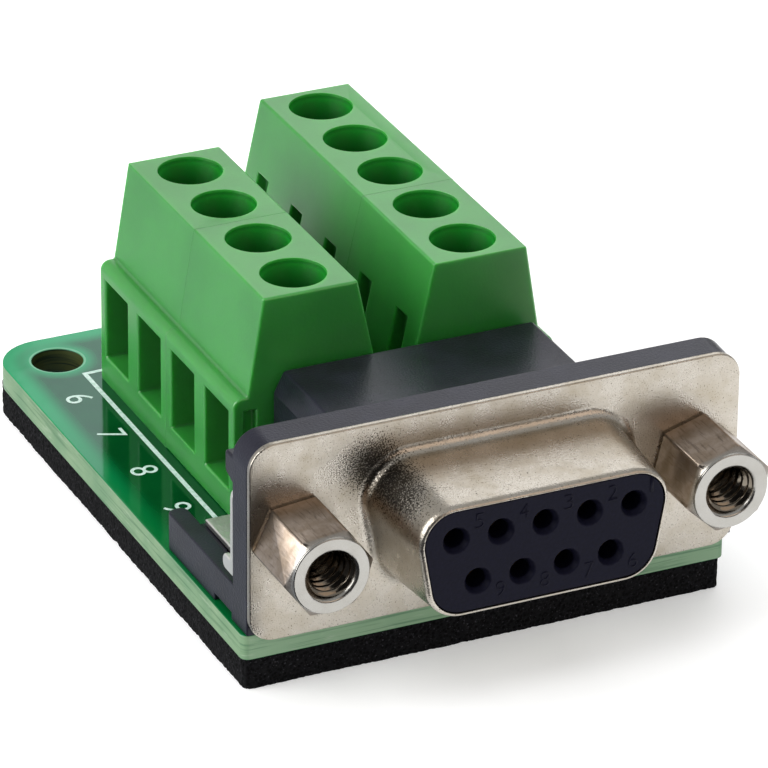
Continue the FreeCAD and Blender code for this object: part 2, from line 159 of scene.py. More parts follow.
def rounded(corners, arc_steps, side_steps):
    """Closed outline through corners (a, b, radius), anticlockwise, as an array of points.

    Each corner gives arc_steps points on the circle that touches both of its sides, and
    side_steps more lead in a straight line to the next corner's arc.
    """
    corners = np.array(corners, float)
    point, radius = corners[:, :2], corners[:, 2:]
    ahead = np.roll(point, -1, 0) - point
    ahead /= np.linalg.norm(ahead, axis=1, keepdims=True)
    behind = -np.roll(ahead, 1, 0)
    half = np.arccos(np.clip((ahead * behind).sum(1, keepdims=True), -1, 1)) / 2
    middle = ahead + behind
    middle /= np.linalg.norm(middle, axis=1, keepdims=True)
    centre = point + middle * radius / np.sin(half)
    first = np.arctan2(-behind[:, 0], behind[:, 1])[:, None]
    sweep = math.pi - 2 * half
    turn = first + np.linspace(0, 1, arc_steps)[None, :] * sweep + math.pi
    arc = centre[:, None, :] + radius[:, None, :] * np.stack([np.cos(turn), np.sin(turn)], 2)
    share = (np.arange(1, side_steps + 1) / (side_steps + 1))[None, :, None]
    side = arc[:, -1:, :] + share * (np.roll(arc[:, 0, :], -1, 0)[:, None, :] - arc[:, -1:, :])
    return np.concatenate([arc, side], 1).reshape(-1, 2)


def circle(a, b, radius, steps):
    """Closed round outline about (a, b)."""
    turn = np.linspace(0, 2 * math.pi, steps, endpoint=False)
    return np.stack([a + radius * np.cos(turn), b + radius * np.sin(turn)], 1)


def quads(rows, columns):
    """Faces of a grid of points in which every row closes on itself."""
    row = np.arange(rows - 1)[:, None]
    column = np.arange(columns)[None, :]
    after = (column + 1) % columns
    faces = [row * columns + column, row * columns + after,
             (row + 1) * columns + after, (row + 1) * columns + column]
    return np.stack(np.broadcast_arrays(*faces), 2).reshape(-1, 4)


def between_walls(name, walls, axis):
    """Closed mesh from walls, each a stack of rings, with flat faces filled in between the end
    rings of all the walls at the lowest and the highest place along the axis."""
    mesh = bmesh.new()
    for wall in walls:
        points = [mesh.verts.new(point) for point in (wall.reshape(-1, 3) * MM).tolist()]
        for face in quads(*wall.shape[:2]).tolist():
            mesh.faces.new([points[index] for index in face])
    ends = [edge for edge in mesh.edges if len(edge.link_faces) == 1]
    places = np.array([edge.verts[0].co[axis] for edge in ends])
    for level in (places.min(), places.max()):
        rings = [edge for edge, place in zip(ends, places) if abs(place - level) < 1e-6]
        bmesh.ops.triangle_fill(mesh, edges=rings, use_beauty=True)
    bmesh.ops.recalc_face_normals(mesh, faces=mesh.faces)
    out = bpy.data.meshes.new(name)
    mesh.to_mesh(out)
    mesh.free()
    return out


def dressed(name, mesh, finish, node=None, body="base", sharp=35.0):
    """An object for a mesh: smooth but for edges over the sharp angle, finished and riding."""
    mesh.validate()
    mesh.shade_smooth()
    mesh.set_sharp_from_angle(angle=math.radians(sharp))
    mesh.materials.clear()
    mesh.materials.append(finish.material)
    made = bpy.data.objects.new(name, mesh)
    bpy.context.scene.collection.objects.link(made)
    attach(made, body)
    if node:
        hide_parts(node)
    return made


foam = Finish("black_foam", srgb(20, 20, 22), 0.95, Specular_IOR_Level=0.12)
cells = foam.add("ShaderNodeTexVoronoi", {"feature": "F1"}, foam.place((4.5, 4.5, 4.5)), 1.0)
grime = foam.noise(0.35, detail=4.0, roughness=0.7)
speck = foam.noise(0.12, detail=2.0)
foam_colour = foam.blend(cells.between(0.2, 0.7), srgb(4, 4, 5), srgb(19, 19, 21))
foam.set("Base Color", foam.blend(speck.between(0.62, 0.74) * 0.6, foam_colour, srgb(74, 73, 78)))
foam.bump(cells * 0.6 + grime * 0.8, 0.12)

pad_low, pad_high = (np.array(corner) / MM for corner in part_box("foam_pad"))
pad_front_corner, pad_back_corner = 0.5, 2.0
pad_corners = [
    (pad_low[0], pad_low[1], pad_front_corner),
    (pad_high[0], pad_low[1], pad_front_corner),
    (pad_high[0], pad_high[1], pad_back_corner),
    (pad_low[0], pad_high[1], pad_back_corner),
]
screw_hole_x = 12.0
screw_hole_y = 16.6
pad_hole_radius = 2.1
side_levels = 14
side_grain, hole_grain = 0.05, 0.03
drift_length = 30


def sawn_side(outline, depth, seed):
    """Sawn wall: the outline repeated from the bottom to the top of the pad, each point moved
    inwards by random grain, blurred over its neighbours, on top of a slower random drift."""
    rng = np.random.default_rng(seed)
    count = len(outline)
    tangent = np.roll(outline, -1, 0) - np.roll(outline, 1, 0)
    inward = np.stack([-tangent[:, 1], tangent[:, 0]], 1)
    inward /= np.linalg.norm(inward, axis=1, keepdims=True)
    grain = rng.normal(size=(side_levels, count))
    grain = (grain + np.roll(grain, 1, 1)) / 2 + rng.normal(size=(side_levels, 1)) * 0.1
    drift = rng.normal(size=count)
    half = drift_length // 2
    kernel = np.ones(drift_length) / drift_length ** 0.5
    drift = np.convolve(np.concatenate([drift[-half:], drift, drift[:half]]), kernel, "same")[half:-half]
    moved = depth * np.abs(grain) + 0.5 * depth * np.abs(drift)[None, :]
    flat = outline[None, :, :] + inward[None, :, :] * moved[:, :, None]
    height = np.linspace(pad_low[2], pad_high[2], side_levels)[:, None, None]
    return np.concatenate([flat, np.broadcast_to(height, (side_levels, count, 1))], 2)


pad_walls = [sawn_side(rounded(pad_corners, 16, 210), side_grain, 3)]
for side in (-1, 1):
    pad_hole = circle(side * screw_hole_x, screw_hole_y, pad_hole_radius, 72)[::-1]
    pad_walls.append(sawn_side(pad_hole, hole_grain, 5 + side))
pad = dressed("foam_sheet", between_walls("foam_sheet", pad_walls, 2), foam,
              "foam_pad", "base", 80.0)


# The circuit board. Glass laminate 1.6 mm thick, routed to shape, under a glossy green mask;
# copper under the mask stops a millimetre short of the edge. White ink numbers the poles.

mask_top = 3.6
board_bottom = 2.0
board_half_width, board_half_depth, board_corner = 15.35, 19.7, 3.0
copper_margin = 1.0
# Along Y, where the painted light on the mask's margin starts and where it is full.
margin_painted_light_from_y, margin_painted_light_full_y = -8.0, 15.0
mask_wrap = 0.03
screw_hole_radius = 1.6


def softened(name, node, finish, width, segments=2, cuts=(), shape=None, share=None):
    """Copy of a CAD node with a small radius on every edge.

    Coplanar triangles are joined, cuts (axis, place) add edges along flat planes, shape moves an
    array of points, and share gives each edge, from its middle, a part of the radius.
    """
    mesh = bmesh.new()
    mesh.from_mesh(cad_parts[node].data)
    bmesh.ops.remove_doubles(mesh, verts=mesh.verts, dist=1e-6)
    bmesh.ops.dissolve_limit(mesh, angle_limit=math.radians(1.0), verts=mesh.verts, edges=mesh.edges)
    for axis, place in cuts:
        normal = Vector([float(index == axis) for index in range(3)])
        everything = mesh.verts[:] + mesh.edges[:] + mesh.faces[:]
        bmesh.ops.bisect_plane(mesh, geom=everything, plane_co=normal * place * MM, plane_no=normal)
    sharp = np.array([edge.calc_face_angle(0.0) > math.radians(32) for edge in mesh.edges], float)
    copy = bpy.data.meshes.new(name)
    mesh.to_mesh(copy)
    mesh.free()
    points = np.empty(len(copy.vertices) * 3)
    copy.vertices.foreach_get("co", points)
    points = points.reshape(-1, 3) / MM
    if shape:
        points = shape(points)
        copy.vertices.foreach_set("co", (points * MM).ravel())
    if share:
        ends = np.empty(len(copy.edges) * 2, int)
        copy.edges.foreach_get("vertices", ends)
        sharp *= share(points[ends.reshape(-1, 2)].mean(1))
    weight = copy.attributes.new("bevel_weight_edge", "FLOAT", "EDGE")
    weight.data.foreach_set("value", sharp)
    made = dressed(name, copy, finish, node, "base", 25.0)
    edges = made.modifiers.new("edge_radius", "BEVEL")
    edges.width = width * MM
    edges.segments = segments
    edges.limit_method = "WEIGHT"
    edges.use_clamp_overlap = False
    edges.harden_normals = True
    return made


laminate = Finish("green_mask_on_laminate", srgb(4, 84, 36), 0.1, IOR=1.5,
                  Specular_Tint=(0.35, 0.95, 1.0, 1.0))
across, along, height = abs(laminate.axis(0)), laminate.axis(1), laminate.axis(2)
is_side = (height - board_bottom).between(mask_wrap, 2 * mask_wrap)
is_side = is_side * (mask_top - mask_wrap - height).between(0.0, mask_wrap)
beyond_x = (across - (board_half_width - board_corner)).at_least(0.0)
beyond_y = (abs(along) - (board_half_depth - board_corner)).at_least(0.0)
from_edge = board_corner - (beyond_x ** 2.0 + beyond_y ** 2.0) ** 0.5
to_hole = ((across - screw_hole_x) ** 2.0 + (along - screw_hole_y) ** 2.0) ** 0.5
over_copper = from_edge.between(copper_margin - 0.6, copper_margin + 0.8)
over_copper = over_copper * to_hole.between(screw_hole_radius - 0.2, screw_hole_radius + 1.2)
weave = laminate.noise(2.2, detail=2.0)
mask_colour = laminate.blend(weave.between(0.3, 0.7), srgb(1, 62, 26), srgb(3, 72, 31))
# The margin, with no copper under the mask, is lighter in its own colour. Its rise from darker at the
# front to lighter at the back is painted light.
margin_colour_and_painted_light = laminate.blend(along.between(margin_painted_light_from_y, margin_painted_light_full_y),
                               srgb(3, 98, 46), srgb(8, 140, 84))
mask_colour = laminate.blend(over_copper, margin_colour_and_painted_light, mask_colour)
mask_colour = laminate.blend(to_hole.between(screw_hole_radius + 0.12, screw_hole_radius + 0.18),
                             srgb(96, 160, 122), mask_colour)
layers = laminate.noise(0.2, detail=2.0, stretch=(0.03, 0.03, 1.0))
sawn = laminate.noise(0.25, detail=4.0, roughness=0.6, stretch=(0.14, 0.14, 1.0))
cloudy = laminate.noise(2.5, detail=3.0)
side_colour = laminate.blend(cloudy.between(0.3, 0.7), srgb(108, 140, 104), srgb(126, 152, 116))
# Painted light: the board's front face is drawn lighter than its other sawn sides.
behind_front = along.between(-board_half_depth - 0.02, -board_half_depth + 0.04)
side_colour = laminate.blend(behind_front, srgb(142, 168, 134), side_colour)
side_colour = laminate.blend(layers.between(0.5, 0.68) * 0.6, side_colour, srgb(64, 104, 66))
side_colour = laminate.blend(sawn.between(0.56, 0.75) * 0.35, side_colour, srgb(180, 190, 168))
lined = laminate.blend(layers.between(0.45, 0.6), srgb(66, 70, 30), srgb(26, 28, 14))
side_colour = laminate.blend(1.0 - to_hole.between(screw_hole_radius + 0.02, screw_hole_radius + 0.1),
                             side_colour, lined)
laminate.set("Base Color", laminate.blend(is_side, mask_colour, side_colour))
laminate.set("Roughness", is_side * 0.42 + 0.09)
laminate.bump((layers * 0.6 + sawn) * is_side + weave * 0.4, 0.02)
softened("masked_board", "circuit_board", laminate, 0.05)

ink = Finish("white_legend_ink", srgb(206, 226, 220), 0.4)
ink_wear = ink.noise(0.3, detail=3.0)
ink.set("Base Color", ink.blend(ink_wear.between(0.35, 0.75), srgb(212, 230, 225), srgb(170, 205, 190)))
ink_height = mask_top + 0.012
ink_line = 0.3

pole_pitch = 5.08
legend_x, legend_shift = 12.7, 0.42
legend_height, legend_width, legend_thinning = 1.7, 1.05, 0.004
share_for_one = 0.4
line_x, line_return_x, line_slip = 11.15, 9.9, 0.05
line_before, line_after = 0.66, 0.7
figure_to_hole, line_to_hole = 2.55, 0.35
first_pole_y = {1: 16.21, -1: 10.86}
pole_count = {1: 5, -1: 4}
first_pole_number = {1: 1, -1: 6}


def ribbon(points, width):
    """Flat line of ink: each point of the path gives two, half the width to either side."""
    points = np.array(points, float)
    run = np.gradient(points, axis=0)
    run /= np.linalg.norm(run, axis=1, keepdims=True)
    sideways = np.stack([-run[:, 1], run[:, 0]], 1) * width / 2
    both = np.stack([points - sideways, points + sideways], 1)
    flat = np.concatenate([both, np.full(both.shape[:2] + (1,), ink_height)], 2)
    index = np.arange(len(points) - 1)[:, None] * 2
    return flat.reshape(-1, 3) * MM, index + np.array([[0, 2, 3, 1]])


def figure(name, text, height, width, depth, place, turn, finish, upright=False, thin=0.0):
    """A printed or moulded figure, made a mesh from a text, scaled to its height and width in
    millimetres, and set down with its middle at place: flat and turned, or upright facing -Y.
    A 1 gets only a share of the width."""
    curve = bpy.data.curves.new(name, "FONT")
    curve.body = text
    curve.size = height * MM
    curve.offset = -thin * MM
    curve.resolution_u = 5
    holder = bpy.data.objects.new(name + "_text", curve)
    bpy.context.scene.collection.objects.link(holder)
    bpy.context.view_layer.update()
    mesh = bpy.data.meshes.new_from_object(holder.evaluated_get(bpy.context.evaluated_depsgraph_get()))
    bpy.data.objects.remove(holder)
    points = np.zeros(len(mesh.vertices) * 3)
    mesh.vertices.foreach_get("co", points)
    points = points.reshape(-1, 3)
    low, high = points.min(0), points.max(0)
    if text == "1":
        width = width * share_for_one
    points = (points - (low + high) / 2) / (high - low + 1e-12) * np.array([width, height, 0.0]) * MM
    cos, sin = math.cos(turn), math.sin(turn)
    if upright:
        points = np.stack([points[:, 0], 0 * points[:, 0], points[:, 1]], 1)
    else:
        points = np.stack([points[:, 0] * cos - points[:, 1] * sin,
                           points[:, 0] * sin + points[:, 1] * cos, 0 * points[:, 0]], 1)
    points += np.array(place) * MM
    mesh.vertices.foreach_set("co", points.ravel())
    mesh.update()
    made = dressed(name, mesh, finish, sharp=30.0)
    if depth:
        wall = made.modifiers.new("figure_depth", "SOLIDIFY")
        wall.thickness = depth * MM
        wall.offset = -1.0
    return made


for side in (-1, 1):
    row_name = "right" if side > 0 else "left"
    for step in range(pole_count[side]):
        number = first_pole_number[side] + step
        pole_y = first_pole_y[side] - step * pole_pitch
        place = (side * legend_x, min(pole_y + legend_shift, screw_hole_y - figure_to_hole), ink_height)
        figure(f"legend_{number}", str(number), legend_height, legend_width, 0, place,
               side * math.pi / 2, ink, thin=legend_thinning)
    start = min(first_pole_y[side] + pole_pitch * line_before,
                screw_hole_y - screw_hole_radius - line_to_hole)
    end = first_pole_y[side] - (pole_count[side] - 1 + line_after) * pole_pitch
    points, faces = ribbon([(side * line_x, start + ink_line / 2), (side * line_x, end)], ink_line)
    corner = (side * (line_x - ink_line / 2), start)
    short, short_faces = ribbon([corner, (side * line_return_x, start + line_slip)], ink_line)
    lines = bpy.data.meshes.new("legend_line")
    lines.from_pydata(np.concatenate([points, short]).tolist(), [],
                      np.concatenate([faces, short_faces + len(points)]).tolist())
    dressed(f"legend_line_{row_name}", lines, ink)


# The terminal housings. Translucent green nylon, moulded in blocks of two and three poles that
# lock together rib in groove. Light spreads inside it; each driver hole opens in a small lip.

green = Finish("green_moulding", srgb(38, 128, 46), 0.6, Subsurface_Weight=0.9,
               Subsurface_Radius=(0.35, 1.0, 0.2), Subsurface_Scale=1.2 * MM, IOR=1.5,
               Specular_IOR_Level=0.08, Coat_Roughness=0.34, Coat_IOR=1.95)
flow = green.noise(5.0, detail=3.0)
grain = green.noise(0.18, detail=3.0)
# Painted shade: each driver hole's wall goes from a bright green at the rim to near black deeper down.
hole_shade_depth = green.add("ShaderNodeAttribute", {"attribute_name": "hole_shade_depth"}, output=2)
in_hole = hole_shade_depth.between(0.02, 0.07)
green_colour = green.blend(flow.between(0.3, 0.7), srgb(34, 124, 42), srgb(42, 134, 48))
hole_painted_shade_colour = green.blend(hole_shade_depth, srgb(14, 118, 28), srgb(1, 24, 10))
green.set("Base Color", green.blend(in_hole, green_colour, hole_painted_shade_colour))
green.set("Roughness", grain * 0.2 + 0.5)
green.set("Coat Weight", 0.9 - in_hole * 0.88)
green.bump(grain + flow * 0.5, 0.014)

row_x = 5.5
hole_radius, lip_radius, lip_depth = 1.85, 1.97, 0.32
block_top = 17.73
seam_y = 3.38
# Depth below the top over which the painted shade in the driver holes grows to full.
painted_shade_depth = 3.0
pole_places = [(side * row_x, first_pole_y[side] - step * pole_pitch)
               for side in (-1, 1) for step in range(pole_count[side])]


def with_lips(points):
    """Widens each driver hole above its lip: points on its wall move out by the ratio of radii."""
    for centre in pole_places:
        offset = points[:, :2] - centre
        on_wall = abs(np.hypot(offset[:, 0], offset[:, 1]) - hole_radius) < 0.02
        on_wall &= points[:, 2] > block_top - lip_depth - 0.01
        points[on_wall, :2] += offset[on_wall] * (lip_radius / hole_radius - 1)
    return points


def from_pole(points):
    """Distance of each point from the axis of the nearest pole."""
    return np.min([np.hypot(points[:, 0] - x, points[:, 1] - y) for x, y in pole_places], 0)


def housing_share(middle):
    """A fifth of the radius at the driver holes and the seams, and the whole of it elsewhere."""
    at_hole = (from_pole(middle) < lip_radius + 0.1) & (middle[:, 2] > block_top - 0.6)
    at_seam = (middle[:, 1] > seam_y - 0.3) & (middle[:, 1] < seam_y + 0.3)
    return np.where(at_hole | at_seam, 0.2, 1.0)


lip_cuts = [(2, block_top - lip_depth), (2, block_top - lip_depth - 0.05)]
for side in ("left", "right"):
    for place in ("front", "rear"):
        block = softened(f"{side}_{place}_block", f"{side}_{place}_housing", green, 0.15, 3,
                         lip_cuts, with_lips, housing_share)
        points = np.empty(len(block.data.vertices) * 3)
        block.data.vertices.foreach_get("co", points)
        points = points.reshape(-1, 3) / MM
        # Painted shade in the driver holes, from none at the top to full lower down.
        painted_shade = np.clip((block_top - points[:, 2]) / painted_shade_depth, 0, 1)
        depth = np.where(from_pole(points) < lip_radius + 0.02, painted_shade, 0)
        block.data.attributes.new("hole_shade_depth", "FLOAT", "POINT").data.foreach_set("value", depth)


# Inside each pole: a nickel-plated cage that climbs a zinc-plated screw and pinches the wire
# against a tinned bar.

cage_metal = Finish("nickel_cage", srgb(190, 182, 166), 0.3, Metallic=1.0)
cage_metal.bump(cage_metal.noise(0.3, detail=3.0), 0.01)
screw_metal = Finish("zinc_screw", srgb(184, 188, 192), 0.28, Metallic=1.0)
screw_metal.bump(screw_metal.noise(0.25, detail=3.0), 0.01)
bar_metal = Finish("tinned_bar", srgb(198, 197, 192), 0.35, Metallic=1.0)
bar_metal.bump(bar_metal.noise(0.4, detail=2.0), 0.008)


def finish_node(name, finish):
    """Gives a node of the frame its finish and leaves its mesh alone."""
    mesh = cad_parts[name].data
    mesh.materials.clear()
    mesh.materials.append(finish.material)


for number in range(1, 10):
    finish_node(f"clamp_cage_{number}", cage_metal)
    finish_node(f"clamp_screw_{number}", screw_metal)
    finish_node(f"solder_bar_{number}", bar_metal)


# The rear bracket. Black glass-filled moulding with a fine grain: a plate behind the flange, a
# hood over the contacts' tails and an arm on each side that stands on the board.

black = Finish("black_moulding", srgb(20, 20, 27), 0.32, Specular_IOR_Level=0.4,
               Specular_Tint=(0.86, 0.88, 1.0, 1.0))
black_grain = black.noise(0.14, detail=4.0, roughness=0.65)
cloud = black.noise(2.0, detail=3.0)
black.set("Base Color", black.blend(cloud.between(0.3, 0.7), srgb(20, 20, 29), srgb(28, 28, 39)))
black.set("Roughness", black_grain * 0.22 + 0.22)
black.bump(black_grain, 0.03)

axis_x, axis_z = 0.25, 9.5
hood_top, hood_shoulder, hood_rise = 13.0, 11.8, 0.14
bracket_back = -17.8


def with_high_hood(points):
    """Lifts the hood's flat top a little, which the CAD's chamfers leave low."""
    on_top = (points[:, 2] > hood_top - 0.01) & (points[:, 1] > bracket_back)
    points[on_top, 2] += hood_rise
    return points


def bracket_share(middle):
    """All of the radius on the hood's outer edges above its shoulders, and less elsewhere."""
    on_hood = (middle[:, 1] > bracket_back + 0.1) & (middle[:, 2] > hood_shoulder - 0.3)
    return np.where(on_hood, 1.0, 0.6)


softened("black_bracket", "rear_bracket", black, 0.16, 3, (),
         with_high_hood, bracket_share)


# The socket's insulator. The same black material, flush with the rim of the shell, with a
# countersunk entry over each contact and its number moulded beside it.

socket_black = Finish("black_socket_moulding", srgb(6, 6, 12), 0.36, Specular_IOR_Level=0.12,
                      Specular_Tint=(0.85, 0.85, 1.0, 1.0))
socket_grain = socket_black.noise(0.2, detail=3.0)
socket_colour = socket_black.blend(socket_grain.between(0.3, 0.7), srgb(8, 8, 22), srgb(13, 13, 29))
socket_black.set("Base Color", socket_colour)
socket_black.set("Roughness", socket_grain * 0.2 + 0.36)
socket_black.bump(socket_grain, 0.012)

contact_pitch, row_rise = 2.77, 1.42
entry_radius, countersink_radius, countersink_depth = 0.6, 0.82, 0.35
face_of_socket = -26.36
face_figure_height, face_figure_width, face_figure_depth, face_figure_thinning = 0.92, 0.56, 0.05, 0.02
face_figure_out, figure_above, figure_below = 0.035, 0.97, 0.82
first_figure_beside, figure_beside = 1.1, 1.42
entry_places = []
for number in range(1, 10):
    row = 1 if number <= 5 else -1
    step = number - 1 if row > 0 else number - 6
    entry_places.append((axis_x + contact_pitch * ((3.5 + row / 2) / 2 - step), axis_z + row * row_rise))


def with_countersinks(points):
    """Opens each entry at the face: points on its rim move out by the ratio of the radii."""
    for centre in entry_places:
        offset = points[:, [0, 2]] - centre
        on_rim = abs(np.hypot(offset[:, 0], offset[:, 1]) - entry_radius) < 0.03
        on_rim &= abs(points[:, 1] - face_of_socket) < 0.01
        points[np.ix_(on_rim, [0, 2])] += offset[on_rim] * (countersink_radius / entry_radius - 1)
    return points


softened("black_socket_face", "socket_insulator", socket_black, 0.06, 2,
         [(1, face_of_socket + countersink_depth)], with_countersinks)
for number, (x, z) in enumerate(entry_places, start=1):
    aside = first_figure_beside if number == 1 else figure_beside
    rise = figure_above if z > axis_z else -figure_below
    figure(f"face_number_{number}", str(number), face_figure_height, face_figure_width, face_figure_depth,
           (x + aside, face_of_socket - face_figure_out, z + rise), 0, socket_black,
           upright=True, thin=face_figure_thinning)


# The contacts. Copper alloy rolled into sockets and flash gilt, with square tails that bend
# down under the hood into the board.

gilt = Finish("gilt_contact", srgb(214, 170, 88), 0.28, Metallic=1.0)
gilt.bump(gilt.noise(0.2), 0.004)
for number in range(1, 10):
    finish_node(f"socket_contact_{number}", gilt)


# The front shell. Steel pressed into a flange and a D-shaped collar with a flared root and a
# rounded rim, then nickel plated: a faint orange peel and dark specks. At the collar's upper left
# corner the specks crowd together into a patch of painted shade.

nickel = Finish("nickel_shell", srgb(202, 194, 184), 0.3, Metallic=1.0)
peel = nickel.noise(0.085, detail=3.0)
speck = nickel.noise(0.09, detail=2.0)
stain = nickel.noise(2.2, detail=4.0, roughness=0.65)
nickel_colour = nickel.blend(stain.between(0.35, 0.75), srgb(193, 187, 177), srgb(177, 168, 152))
nickel_colour = nickel.blend(speck.between(0.58, 0.72) * 0.6, nickel_colour, srgb(112, 104, 92))
# Painted shade at the collar's upper left corner: how it is stretched, where it is centred and how far it
# reaches.
painted_shade_stretch, painted_shade_middle = (1.0, 0.55, 1.0), (-7.6, -12.0, 13.2)
painted_shade_reach, painted_shade_core = 3.2, 0.7
from_painted_shade = nickel.add("ShaderNodeVectorMath", {"operation": "DISTANCE"},
                        nickel.place(painted_shade_stretch), painted_shade_middle)
specks_and_painted_shade = speck + from_painted_shade.between(painted_shade_reach, painted_shade_core) * 0.3
# Dark specks everywhere, and painted shade where they crowd at the collar's corner.
nickel.set("Base Color", nickel.blend(specks_and_painted_shade.between(0.66, 0.74) * 0.85, nickel_colour, srgb(42, 36, 30)))
nickel.set("Roughness", stain * 0.12 + 0.22)
nickel.bump(peel, 0.028)

shell_width, shell_height, shell_corner, shell_slope = 16.33, 7.9, 2.6, math.radians(10)
flange_width, flange_height, flange_corner = 30.8, 12.5, 1.6
flange_front, flange_back, shell_front = -20.15, -19.75, -26.41
shell_draft, shell_wall, shell_flare, shell_rim, rim_length = 0.39, 0.28, 0.65, 0.27, 0.5
flange_edge = 0.09
jack_side, jack_hole_radius, jack_hole_steps = 12.5, 1.64, 36


def d_ring(inset, along):
    """One turn of the collar: the D outline moved in by inset, at a place along Y."""
    corner = shell_corner - inset
    half_height = shell_height / 2 - inset
    top = shell_width / 2 - inset + corner * ((1 + math.sin(shell_slope)) / math.cos(shell_slope) - 1)
    bottom = top - 2 * half_height * math.tan(shell_slope)
    corners = [(-bottom, -half_height, corner), (bottom, -half_height, corner),
               (top, half_height, corner), (-top, half_height, corner)]
    flat = rounded(corners, 17, 12)
    return np.stack([flat[:, 0] + axis_x, np.full(len(flat), along), flat[:, 1] + axis_z], 1)


def flange_ring(inset, along):
    """One turn of the flange's edge: its outline moved in by inset, at a place along Y."""
    half_width, half_height = flange_width / 2 - inset, flange_height / 2 - inset
    corners = [(-half_width, -half_height), (half_width, -half_height),
               (half_width, half_height), (-half_width, half_height)]
    flat = rounded([(a, b, flange_corner - inset) for a, b in corners], 17, 12)
    return np.stack([flat[:, 0] + axis_x, np.full(len(flat), along), flat[:, 1] + axis_z], 1)


quarter = np.linspace(0, math.pi / 2, 9)
edge_turn = np.linspace(0, math.pi / 2, 4)
edge_rings = [flange_ring(flange_edge * (1 - math.sin(a)), flange_back - flange_edge * (1 - math.cos(a)))
              for a in edge_turn]
edge_rings += [flange_ring(flange_edge * (1 - math.cos(a)), flange_front + flange_edge * (1 - math.sin(a)))
               for a in edge_turn]
collar_rings = [d_ring(-shell_flare * (1 - math.sin(a)), flange_front - shell_flare * (1 - math.cos(a)))
                for a in quarter]
collar_rings += [d_ring(shell_draft + shell_rim * (1 - math.cos(a)),
                        shell_front + rim_length * (1 - math.sin(a))) for a in quarter]
inner = shell_draft + shell_wall
collar_rings += [d_ring(inner - 0.01, shell_front), d_ring(inner, shell_front + 0.02),
                 d_ring(shell_wall, flange_back)]
shell_walls = [np.array(edge_rings), np.array(collar_rings)]
for side in (-1, 1):
    ring = circle(axis_x + side * jack_side, axis_z, jack_hole_radius, jack_hole_steps)
    shell_walls.append(np.stack([np.stack([ring[:, 0], np.full(jack_hole_steps, place), ring[:, 1]], 1)
                                 for place in (flange_front, flange_back)]))
dressed("pressed_shell", between_walls("pressed_shell", shell_walls, 1), nickel, "front_shell",
        sharp=50.0)


# The board locks. Tin-plated brass strips behind the bracket: pierced for the jackscrew and
# folded back over the arm's foot, with a lug over the arm and two prongs in the board.

tin = Finish("tinned_strap", srgb(232, 232, 226), 0.34, Metallic=0.9)
spangle = tin.noise(0.5, detail=4.0, roughness=0.65)
tin.set("Roughness", spangle * 0.3 + 0.2)
tin.bump(spangle, 0.05)
for side in ("left", "right"):
    softened(f"{side}_lock_strap", f"{side}_board_lock", tin, 0.12, 3)


# The jackscrews and their nuts. Hexagonal bar, turned at the front end, nickel plated and
# tapped for the plug's screws; a nut behind the strap holds each one.

jack_front = -24.98
slope_front, slope_back, slope_advance = 0.5, 1.5, 0.3
root_corner, root_shrink = 2.2, 0.93
left_turn, right_turn = math.radians(6), math.radians(17)
thread_pitch, thread_crest, thread_root = 0.635, 1.15, 1.44
thread_start, thread_end, thread_lead_in = 0.22, 4.2, 0.3
turn_steps, pitch_steps = 60, 12

plate = Finish("nickel_fastener", srgb(200, 192, 180), 0.2, Metallic=1.0)
plate_stain = plate.noise(1.2, detail=4.0, roughness=0.6)
drawn = plate.noise(0.16, detail=4.0, roughness=0.6, stretch=(1.0, 0.12, 1.0))
on_flats = plate.axis(1).between(jack_front + 0.08, jack_front + 0.58)
tarnish = plate.blend(plate_stain.between(0.3, 0.7), srgb(180, 165, 152), srgb(150, 134, 117))
tarnish = plate.blend(drawn.between(0.5, 0.72) * 0.55, tarnish, srgb(96, 84, 74))
turned_end = plate.blend(plate_stain, srgb(182, 181, 177), srgb(164, 161, 154))
plate.set("Base Color", plate.blend(on_flats, turned_end, tarnish))
plate.set("Roughness", plate_stain * 0.14 + on_flats * 0.12 + 0.16)
plate.bump(drawn, 0.012)
# Painted shade: the thread in each bore is a darker copy of the nickel, for the shade inside the bore.
thread_painted_shade = Finish("thread_with_painted_shade", srgb(132, 124, 112), 0.15, Metallic=1.0)
thread_painted_shade.bump(thread_painted_shade.noise(0.2, detail=2.0), 0.01)


def turned_standoff(points):
    """Turns the hexagon about its axis, brings its turned end's slope forward and draws its
    corners in where it sits on the flange."""
    centre = np.array([axis_x + math.copysign(jack_side, points[0, 0]), axis_z])
    offset = points[:, [0, 2]] - centre
    on_hexagon = points[:, 1] < flange_front + 0.01
    on_slope = (points[:, 1] > jack_front + slope_front) & (points[:, 1] < jack_front + slope_back)
    points[on_slope, 1] -= slope_advance
    angle = right_turn if centre[0] > 0 else left_turn
    cos, sin = math.cos(angle), math.sin(angle)
    turned = offset @ np.array([[cos, sin], [-sin, cos]])
    distance = np.hypot(turned[:, 0], turned[:, 1])
    at_root = (points[:, 1] > flange_front - 0.01) & (distance > root_corner)
    turned[at_root] *= root_shrink
    points[np.ix_(on_hexagon, [0, 2])] = turned[on_hexagon] + centre
    return points


def standoff_share(middle):
    """Leaves the slope of the turned end sharp."""
    return np.where(abs(middle[:, 1] - jack_front - slope_front) < 0.4, 0.0, 1.0)


